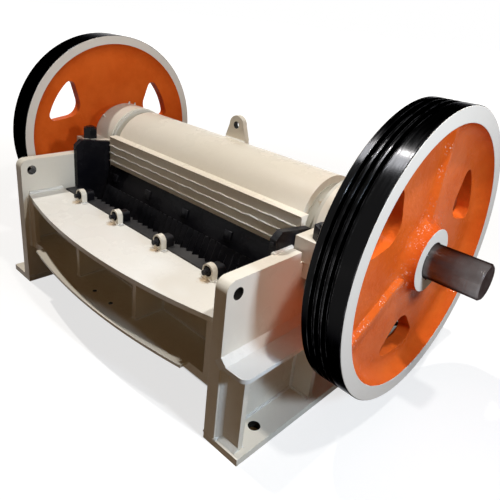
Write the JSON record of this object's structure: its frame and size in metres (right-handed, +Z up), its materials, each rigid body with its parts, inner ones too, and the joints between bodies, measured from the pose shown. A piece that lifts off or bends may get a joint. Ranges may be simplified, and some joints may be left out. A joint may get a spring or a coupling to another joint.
{
  "type": "jaw crusher",
  "caption": "Stationary single-toggle jaw crusher: welded plate frame, overhead eccentric shaft with spoked flywheels at its ends, and toothed fixed and swing jaws for breaking rock.",
  "frame": {"origin": "middle of the overall box on the floor, directly under the shaft axis", "axes": "+X along the shaft towards the grooved wheel, +Y to the toggle side at the back, +Z up"},
  "size_m": [1.756, 1.032, 0.846],
  "materials": {
    "cream_paint": "gloss",
    "orange_paint": "gloss",
    "black_liner": "satin",
    "black_steel": "satin",
    "bare_steel": "oiled"
  },
  "bodies": {
    "frame": {"side_plate_right": "cream_paint", "side_plate_left": "cream_paint", "base_flange_right": "cream_paint", "base_flange_left": "cream_paint", "side_shelf_right": "cream_paint", "side_shelf_left": "cream_paint", "side_gussets": "cream_paint", "front_wall": "cream_paint", "front_top_plate": "cream_paint", "front_lower_rib": "cream_paint", "front_bow_plate": "cream_paint", "front_stiffeners": "cream_paint", "front_end_plates": "cream_paint", "jaw_clamp_lugs": "cream_paint", "jaw_clamp_bolts": "black_steel", "jaw_clamp_blocks": "black_steel", "fixed_jaw_plate": "black_liner", "cheek_plate_right": "black_liner", "cheek_plate_left": "black_liner", "bearing_pads": "cream_paint", "bearing_housing_right": "cream_paint", "bearing_housing_left": "cream_paint", "bearing_covers": "cream_paint", "main_bearings": "bare_steel", "bearing_bolts": "black_steel", "rear_beam": "cream_paint", "rear_ribs": "cream_paint", "toggle_block": "black_steel", "toggle_plate": "black_steel", "spring_bracket": "cream_paint", "tension_spring": "black_steel"},
    "rotor": {"eccentric_shaft": "bare_steel", "flywheel_right": "orange_paint", "flywheel_left": "orange_paint", "wheel_keys": "bare_steel"},
    "pitman": {"pitman_casting": "cream_paint", "pitman_bearings": "bare_steel", "pitman_end_rings": "cream_paint", "pitman_guard": "cream_paint", "swing_jaw_plate": "black_liner", "swing_jaw_wedge": "black_liner", "lifting_lug": "cream_paint", "toggle_seat": "black_steel", "tension_rod": "black_steel", "tension_rod_nut": "black_steel"}
  },
  "joints": [
    {"name": "rotor_spin", "type": "hinge", "parent": "frame", "child": "rotor", "pos_m": [0, 0, 0.466], "axis": [1, 0, 0], "continuous": true},
    {"name": "pitman_orbit", "type": "hinge", "parent": "rotor", "child": "pitman", "pos_m": [0, 0, 0.459], "axis": [1, 0, 0], "continuous": true}
  ],
  "couplings": [
    {"joint": "pitman_orbit", "follows": "rotor_spin", "ratio": -1}
  ]
}
